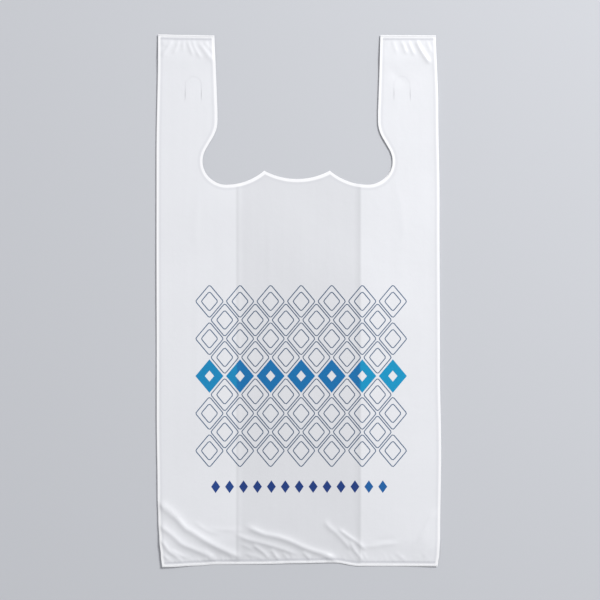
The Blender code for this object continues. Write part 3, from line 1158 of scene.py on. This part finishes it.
@dataclass
class Recipe:
    """A Geometry Nodes tree in the making, with named inputs and the values they are given."""

    name: str
    tree: bpy.types.NodeTree = field(init=False)
    asked: dict = field(default_factory=dict)

    def __post_init__(self) -> None:
        """Start an empty tree."""
        self.tree = bpy.data.node_groups.new(self.name, "GeometryNodeTree")
        for way in ("INPUT", "OUTPUT"):
            self.tree.interface.new_socket("Geometry", in_out=way, socket_type="NodeSocketGeometry")
        self.inlet = add_node(self.tree, "NodeGroupInput", {}, {})

    def ask(self, name: str, value: object) -> bpy.types.NodeSocket:
        """Add a named input.

        Args:
            name: The input's name.
            value: What it is set to, which also says its kind.

        Returns:
            The socket that brings the value into the tree.
        """
        kinds = {
            float: "NodeSocketFloat",
            int: "NodeSocketInt",
            bpy.types.Object: "NodeSocketObject",
            bpy.types.Material: "NodeSocketMaterial",
        }
        socket = self.tree.interface.new_socket(name, in_out="INPUT", socket_type=kinds[type(value)])
        self.asked[socket.identifier] = value
        return self.inlet.outputs[name]

    def node(self, kind: str, links: dict, **settings: object) -> bpy.types.NodeSocket:
        """Add a node and return its first output.

        Args:
            kind: The node's type name in Blender.
            links: Its inputs, by name or number.
            settings: Its properties.

        Returns:
            The node's first output socket.
        """
        return add_node(self.tree, kind, settings, links).outputs[0]

    def drape(
        self, shape: bpy.types.NodeSocket, film: bpy.types.Object, lift: float
    ) -> bpy.types.NodeSocket:
        """Lay a flat shape on the film's upper face, keeping what it has of height.

        Args:
            shape: The shape's socket.
            film: The film that it lies on.
            lift: Clear height over the film, in metres.

        Returns:
            The socket of the draped shape.
        """
        under = add_node(self.tree, "GeometryNodeObjectInfo", {}, {"Object": self.ask("Film", film)})
        place = add_node(self.tree, "ShaderNodeSeparateXYZ", {}, {0: self.node("GeometryNodeInputPosition", {})})
        above = self.node("ShaderNodeCombineXYZ", {0: place.outputs[0], 1: place.outputs[1], 2: DROP})
        ray = add_node(
            self.tree,
            "GeometryNodeRaycast",
            {},
            {
                "Target Geometry": under.outputs["Geometry"],
                "Source Position": above,
                "Ray Direction": (0.0, 0.0, -1.0),
                "Ray Length": 2.0 * DROP,
            },
        )
        hit = add_node(self.tree, "ShaderNodeSeparateXYZ", {}, {0: ray.outputs["Hit Position"]})
        rise = self.node(
            "ShaderNodeMath", {0: hit.outputs[2], 1: self.ask("Lift", lift)}, operation="ADD"
        )
        offset = self.node("ShaderNodeCombineXYZ", {2: rise})
        return self.node("GeometryNodeSetPosition", {"Geometry": shape, "Offset": offset})

    def grow(
        self, shape: bpy.types.NodeSocket, piece: bpy.types.Object, finish: bpy.types.Material
    ) -> bpy.types.Object:
        """End the tree, run it on a piece and keep the plain mesh that it makes.

        Args:
            shape: The socket of the finished shape.
            piece: The object that the tree runs on.
            finish: The material of what it makes.

        Returns:
            The piece.
        """
        real = self.node("GeometryNodeRealizeInstances", {"Geometry": shape})
        dressed = self.node("GeometryNodeSetMaterial", {"Geometry": real, "Material": self.ask("Finish", finish)})
        add_node(self.tree, "NodeGroupOutput", {}, {0: dressed})
        modifier = piece.modifiers.new(self.name, "NODES")
        modifier.node_group = self.tree
        for identifier, value in self.asked.items():
            modifier[identifier] = value
        make_plain(piece)
        return piece


@dataclass(frozen=True)
class Lattice:
    """A staggered field of motifs: rows of one count, with a row of one fewer between each two."""

    columns: int
    rows: int
    pitch: tuple[float, float]
    centre: tuple[float, float]
    staggered: bool = True

    def points(self, recipe: Recipe) -> bpy.types.NodeSocket:
        """Return the socket of the field's points.

        Args:
            recipe: The tree that the points are made in.

        Returns:
            A socket that holds one point for each motif.
        """
        across, up = (recipe.ask(n, p * MM) for n, p in zip(("Column pitch", "Row pitch"), self.pitch))
        columns, rows = recipe.ask("Columns", self.columns), recipe.ask("Rows", self.rows)
        fields = []
        for fewer in (0, 1)[: 1 + self.staggered]:
            less, times = {"operation": "SUBTRACT"}, {"operation": "MULTIPLY"}
            counts = [recipe.node("ShaderNodeMath", {0: n, 1: fewer}, **less) for n in (columns, rows)]
            gaps = [recipe.node("ShaderNodeMath", {0: n, 1: 1.0}, **less) for n in counts]
            spans = [recipe.node("ShaderNodeMath", {0: g, 1: p}, **times) for g, p in zip(gaps, (across, up))]
            fields.append(
                recipe.node(
                    "GeometryNodeMeshGrid",
                    {"Size X": spans[0], "Size Y": spans[1], "Vertices X": counts[0], "Vertices Y": counts[1]},
                )
            )
        join = recipe.tree.nodes.new("GeometryNodeJoinGeometry")
        for socket in fields:
            recipe.tree.links.new(socket, join.inputs[0])
        place = (self.centre[0] * MM, self.centre[1] * MM, 0.0)
        return recipe.node("GeometryNodeTransform", {"Geometry": join.outputs[0], "Translation": place})


@dataclass
class Print:
    """The bag's print: line-drawn lozenges, one solid row through their middle and a small row below."""

    size: BagSize
    film: bpy.types.Object
    across: float = 29.0
    tall: float = 34.6
    line: float = 0.95
    nested: float = 0.60  # size of the inner lozenge, as a share of the outer one
    corner: float = 1.6
    step: float = 1.9  # length of the facets, so that the print follows the film's creases
    whole: Lattice = Lattice(7, 5, (31.6, 38.6), (4.0, -77.6))
    middle: Lattice = Lattice(7, 1, (31.6, 38.6), (4.0, -77.6), staggered=False)
    small: Lattice = Lattice(13, 1, (14.4, 10.0), (2.0, -192.0), staggered=False)
    small_across: float = 9.2
    small_tall: float = 13.0
    lift: float = 0.09

    def build(self) -> list[bpy.types.Object]:
        """Returns:
            The pieces.
        """
        lines = InkFinish("flexo_ink_slate_blue", "#4A6585", "#4A6585", "#435B78")
        solid = InkFinish("flexo_ink_cyan_blue", "#0086BC", "#0096C6", "#006EAC")
        navy = InkFinish("flexo_ink_navy", "#163C86", "#1462A6", "#12387E")
        pieces = [
            self.outlined("print_outlined_lozenges", self.whole, lines),
            self.filled("print_solid_row", self.middle, (self.across, self.tall), 1.0 / 3.0, solid),
            self.filled("print_small_row", self.small, (self.small_across, self.small_tall), 0.0, navy),
        ]
        for piece in pieces:
            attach(piece, BODY)
            log.info("%s: %d faces", piece.name, len(piece.data.polygons))
        return pieces

    def outlined(self, name: str, lattice: Lattice, ink: "InkFinish") -> bpy.types.Object:
        """Draw nested lozenges in thin lines, all over the field but for its middle row.

        Args:
            name: The piece's name.
            lattice: Where the motifs go.
            ink: Their finish.

        Returns:
            The printed piece.
        """
        recipe = Recipe(name)
        stroke = recipe.ask("Line width", self.line * MM)
        half = recipe.node("ShaderNodeMath", {0: stroke, 1: 0.5}, operation="MULTIPLY")
        back = recipe.node("ShaderNodeMath", {0: half, 1: -1.0}, operation="MULTIPLY")
        ends = [recipe.node("ShaderNodeCombineXYZ", {0: x}) for x in (back, half)]
        pen = recipe.node("GeometryNodeCurvePrimitiveLine", {"Start": ends[0], "End": ends[1]})
        tall = recipe.ask("Lozenge height", self.tall * MM)
        reach = recipe.node("ShaderNodeMath", {0: tall, 1: 0.5}, operation="MULTIPLY")
        lozenge = recipe.node(
            "GeometryNodeCurvePrimitiveQuadrilateral",
            {"Width": recipe.ask("Lozenge width", self.across * MM), "Bottom Height": reach, "Top Height": reach},
            mode="KITE",
        )
        inner = recipe.ask("Inner share", self.nested)
        scale = recipe.node("ShaderNodeCombineXYZ", {0: inner, 1: inner, 2: 1.0})
        small = recipe.node("GeometryNodeTransform", {"Geometry": lozenge, "Scale": scale})
        join = recipe.tree.nodes.new("GeometryNodeJoinGeometry")
        for ring in (lozenge, small):
            recipe.tree.links.new(ring, join.inputs[0])
        rounded = recipe.node(
            "GeometryNodeFilletCurve",
            {"Curve": join.outputs[0], "Radius": recipe.ask("Corner radius", self.corner * MM), "Count": 3},
            mode="POLY",
        )
        facet = recipe.ask("Facet", self.step * MM)
        even = recipe.node("GeometryNodeResampleCurve", {"Curve": rounded, "Length": facet}, mode="LENGTH")
        upright = recipe.node("GeometryNodeSetCurveNormal", {"Curve": even}, mode="Z_UP")
        motif = recipe.node("GeometryNodeCurveToMesh", {"Curve": upright, "Profile Curve": pen})
        points = lattice.points(recipe)
        spot = add_node(recipe.tree, "ShaderNodeSeparateXYZ", {}, {0: recipe.node("GeometryNodeInputPosition", {})})
        away = recipe.node("ShaderNodeMath", {0: spot.outputs[1], 1: lattice.centre[1] * MM}, operation="SUBTRACT")
        gap = recipe.node("ShaderNodeMath", {0: away}, operation="ABSOLUTE")
        near = lattice.pitch[1] * MM / 4.0
        others = recipe.node(
            "FunctionNodeCompare", {0: gap, 1: near}, data_type="FLOAT", operation="GREATER_THAN"
        )
        sown = recipe.node(
            "GeometryNodeInstanceOnPoints", {"Points": points, "Selection": others, "Instance": motif}
        )
        real = recipe.node("GeometryNodeRealizeInstances", {"Geometry": sown})
        piece = new_piece(name, np.empty((0, 3)), [])
        return recipe.grow(recipe.drape(real, self.film, self.lift * MM), piece, ink.build(self.size))

    def filled(
        self, name: str, lattice: Lattice, lozenge: tuple[float, float], eye: float, ink: "InkFinish"
    ) -> bpy.types.Object:
        """Draw solid lozenges, bare in the middle if they have an eye.

        Args:
            name: The piece's name.
            lattice: Where the motifs go.
            lozenge: Width and height of one lozenge.
            eye: Size of the bare eye, as a share of the lozenge.
            ink: Their finish.

        Returns:
            The printed piece.
        """
        recipe = Recipe(name)
        cells = 3 * max(2, round(math.hypot(*lozenge) / 2.0 / self.step / 3.0))
        count = recipe.ask("Facets along a side", cells)
        corners = recipe.node("ShaderNodeMath", {0: count, 1: 1.0}, operation="ADD")
        grid = recipe.node(
            "GeometryNodeMeshGrid", {"Size X": 1.0, "Size Y": 1.0, "Vertices X": corners, "Vertices Y": corners}
        )
        spot = add_node(recipe.tree, "ShaderNodeSeparateXYZ", {}, {0: recipe.node("GeometryNodeInputPosition", {})})
        wide = [recipe.node("ShaderNodeMath", {0: spot.outputs[i]}, operation="ABSOLUTE") for i in (0, 1)]
        far = recipe.node("ShaderNodeMath", {0: wide[0], 1: wide[1]}, operation="MAXIMUM")
        rim = recipe.node("ShaderNodeMath", {0: recipe.ask("Eye share", eye), 1: 0.5}, operation="MULTIPLY")
        bare = recipe.node("FunctionNodeCompare", {0: far, 1: rim}, data_type="FLOAT", operation="LESS_THAN")
        ring = recipe.node("GeometryNodeDeleteGeometry", {"Geometry": grid, "Selection": bare}, domain="FACE")
        lean = recipe.node("ShaderNodeMath", {0: spot.outputs[0], 1: spot.outputs[1]}, operation="SUBTRACT")
        climb = recipe.node("ShaderNodeMath", {0: spot.outputs[0], 1: spot.outputs[1]}, operation="ADD")
        half = [recipe.ask(n, v * MM / 2.0) for n, v in zip(("Half width", "Half height"), lozenge)]
        x = recipe.node("ShaderNodeMath", {0: lean, 1: half[0]}, operation="MULTIPLY")
        y = recipe.node("ShaderNodeMath", {0: climb, 1: half[1]}, operation="MULTIPLY")
        sheared = recipe.node("ShaderNodeCombineXYZ", {0: x, 1: y})
        motif = recipe.node("GeometryNodeSetPosition", {"Geometry": ring, "Position": sheared})
        sown = recipe.node("GeometryNodeInstanceOnPoints", {"Points": lattice.points(recipe), "Instance": motif})
        real = recipe.node("GeometryNodeRealizeInstances", {"Geometry": sown})
        piece = new_piece(name, np.empty((0, 3)), [])
        return recipe.grow(recipe.drape(real, self.film, self.lift * MM), piece, ink.build(self.size))


@dataclass
class Welds:
    """The heat seals that close the bottom and the handles: a molten bead with the jaws' fine ribs."""

    size: BagSize
    lie: Lie
    film: bpy.types.Object
    finish: "WeldFinish"
    inset: float = 1.15
    bead_width: float = 0.9
    bead_height: float = 0.22
    rib_pitch: float = 1.3
    rib_length: float = 2.0
    rib_width: float = 0.55
    rib_height: float = 0.12

    def build(self) -> bpy.types.Object:
        """Returns:
            The piece that holds the three seals.
        """
        runs = [self.run(-self.size.half + 0.4, self.size.half - 0.4, -1.0)]
        for side in (-1.0, 1.0):
            ends = sorted((side * 87.2, side * (self.size.half - 0.4)))
            runs.append(self.run(ends[0], ends[1], 1.0))
        verts = np.vstack(runs)
        edges, start = [], 0
        for run in runs:
            edges.extend((start + i, start + i + 1) for i in range(len(run) - 1))
            start += len(run)
        piece = new_piece("heat_sealed_welds", verts, [], edges=edges)
        recipe = Recipe("heat_sealed_welds")
        curve = recipe.node("GeometryNodeMeshToCurve", {"Mesh": recipe.inlet.outputs["Geometry"]})
        upright = recipe.node("GeometryNodeSetCurveNormal", {"Curve": curve}, mode="Z_UP")
        bead = self.half_round(recipe, "Bead", upright, self.bead_width, self.bead_height)
        pitch = recipe.ask("Rib pitch", self.rib_pitch * MM)
        spots = add_node(
            recipe.tree, "GeometryNodeCurveToPoints", {"mode": "LENGTH"}, {"Curve": upright, "Length": pitch}
        )
        reach = recipe.ask("Rib length", self.rib_length * MM)
        half = recipe.node("ShaderNodeMath", {0: reach, 1: 0.5}, operation="MULTIPLY")
        back = recipe.node("ShaderNodeMath", {0: half, 1: -1.0}, operation="MULTIPLY")
        ends = [recipe.node("ShaderNodeCombineXYZ", {1: y}) for y in (back, half)]
        spine = recipe.node("GeometryNodeCurvePrimitiveLine", {"Start": ends[0], "End": ends[1]})
        rib = self.half_round(recipe, "Rib", spine, self.rib_width, self.rib_height)
        ribs = recipe.node("GeometryNodeInstanceOnPoints", {"Points": spots.outputs[0], "Instance": rib})
        join = recipe.tree.nodes.new("GeometryNodeJoinGeometry")
        for part in (bead, ribs):
            recipe.tree.links.new(part, join.inputs[0])
        real = recipe.node("GeometryNodeRealizeInstances", {"Geometry": join.outputs[0]})
        recipe.grow(recipe.drape(real, self.film, 0.0), piece, self.finish.build())
        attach(piece, BODY)
        log.info("%s: %d faces", piece.name, len(piece.data.polygons))
        return piece

    def run(self, low: float, high: float, end: float) -> np.ndarray:
        """Return the line of a seal, just inside the film's end.

        Args:
            low: Where it starts across the flat bag.
            high: Where it ends.
            end: +1 at the handles and -1 at the bottom.

        Returns:
            Points at height zero.
        """
        x = np.linspace(low, high, math.ceil((high - low) / 3.0))
        y = np.full(len(x), end * (self.size.end - self.inset))
        shift_x, shift_y = self.lie.shift(x, y, np.full(len(x), Layer.FRONT.value))
        return np.column_stack((x + shift_x, y + shift_y, np.zeros(len(x))))

    def half_round(
        self, recipe: Recipe, name: str, curve: bpy.types.NodeSocket, width: float, height: float
    ) -> bpy.types.NodeSocket:
        """Give a curve a flattened round section, half of it sunk in the film.

        Args:
            recipe: The tree that it is made in.
            name: What the section's inputs are called after.
            curve: The curve's socket.
            width: Width of the section.
            height: Its height over the film.

        Returns:
            The socket of the closed bar.
        """
        ring = recipe.node("GeometryNodeCurvePrimitiveCircle", {"Resolution": 8, "Radius": 1.0})
        sizes = [recipe.ask(f"{name} {n}", v * MM) for n, v in (("half width", width / 2.0), ("height", height))]
        scale = recipe.node("ShaderNodeCombineXYZ", {0: sizes[0], 1: sizes[1], 2: 1.0})
        section = recipe.node("GeometryNodeTransform", {"Geometry": ring, "Scale": scale})
        return recipe.node("GeometryNodeCurveToMesh", {"Curve": curve, "Profile Curve": section, "Fill Caps": True})


@dataclass
class Studio:
    """A pale table, soft light from the upper right and a camera that looks straight down."""

    floor_colour: str = "#C9CBD0"
    field: float = 621.3  # millimetres that the picture takes in
    aim: tuple[float, float] = (2.8, 1.0)
    lens: float = 85.0

    def build(self) -> None:
        """Make the floor, the lights, the world and the camera."""
        self.floor()
        self.light("key", (1.7, 1.6, 2.2), 0.9, 89.0)
        self.light("fill", (-1.6, -1.0, 2.4), 2.0, 12.0)
        self.world()
        self.camera()
        bpy.context.scene.view_settings.view_transform = "Standard"

    def floor(self) -> None:
        """Lay the table, wide enough to reach the horizon in a low view."""
        material = bpy.data.materials.new("pale_table")
        material.use_nodes = True
        shader = material.node_tree.nodes["Principled BSDF"]
        shader.inputs["Base Color"].default_value = linear(self.floor_colour)
        shader.inputs["Roughness"].default_value = 0.9
        reach, below = 60000.0, -0.2
        signs = ((-1, -1), (1, -1), (1, 1), (-1, 1))
        corners = np.array([(x * reach, y * reach, below) for x, y in signs])
        new_piece("table", corners, [(0, 1, 2, 3)], material)

    def light(self, name: str, place: tuple[float, float, float], size: float, power: float) -> None:
        """Hang a square soft light that faces the bag.

        Args:
            name: The light's name.
            place: Where it hangs, in metres.
            size: Its side, in metres.
            power: Its power, in watts.
        """
        data = bpy.data.lights.new(name, "AREA")
        data.size = size
        data.energy = power
        lamp = bpy.data.objects.new(name, data)
        lamp.location = place
        lamp.rotation_euler = (-Vector(place)).to_track_quat("-Z", "Y").to_euler()
        bpy.context.scene.collection.objects.link(lamp)

    def world(self) -> None:
        """Surround the table with plain pale light."""
        world = bpy.data.worlds.new("pale_surround")
        world.use_nodes = True
        background = world.node_tree.nodes["Background"]
        background.inputs["Color"].default_value = linear("#F4F5F8")
        background.inputs["Strength"].default_value = 0.36
        bpy.context.scene.world = world

    def camera(self) -> None:
        """Hang the camera over the bag."""
        data = bpy.data.cameras.new("camera")
        data.lens = self.lens
        data.clip_end = 200.0
        camera = bpy.data.objects.new("camera", data)
        height = self.field * MM * self.lens / data.sensor_width
        camera.location = (self.aim[0] * MM, self.aim[1] * MM, height)
        bpy.context.scene.collection.objects.link(camera)
        bpy.context.scene.camera = camera


def main() -> None:
    logging.basicConfig(level=logging.INFO, format="%(message)s")
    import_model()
    size = BagSize.from_frame()
    cut = DieCut(size)
    Studio().build()
    lie = Lie(size)
    film = BagFilm(size, cut, lie, FilmFinish())
    piece = film.build()
    dressing = [Welds(size, lie, piece, WeldFinish()).build(), *Print(size, piece).build()]


if __name__ == "__main__":
    main()
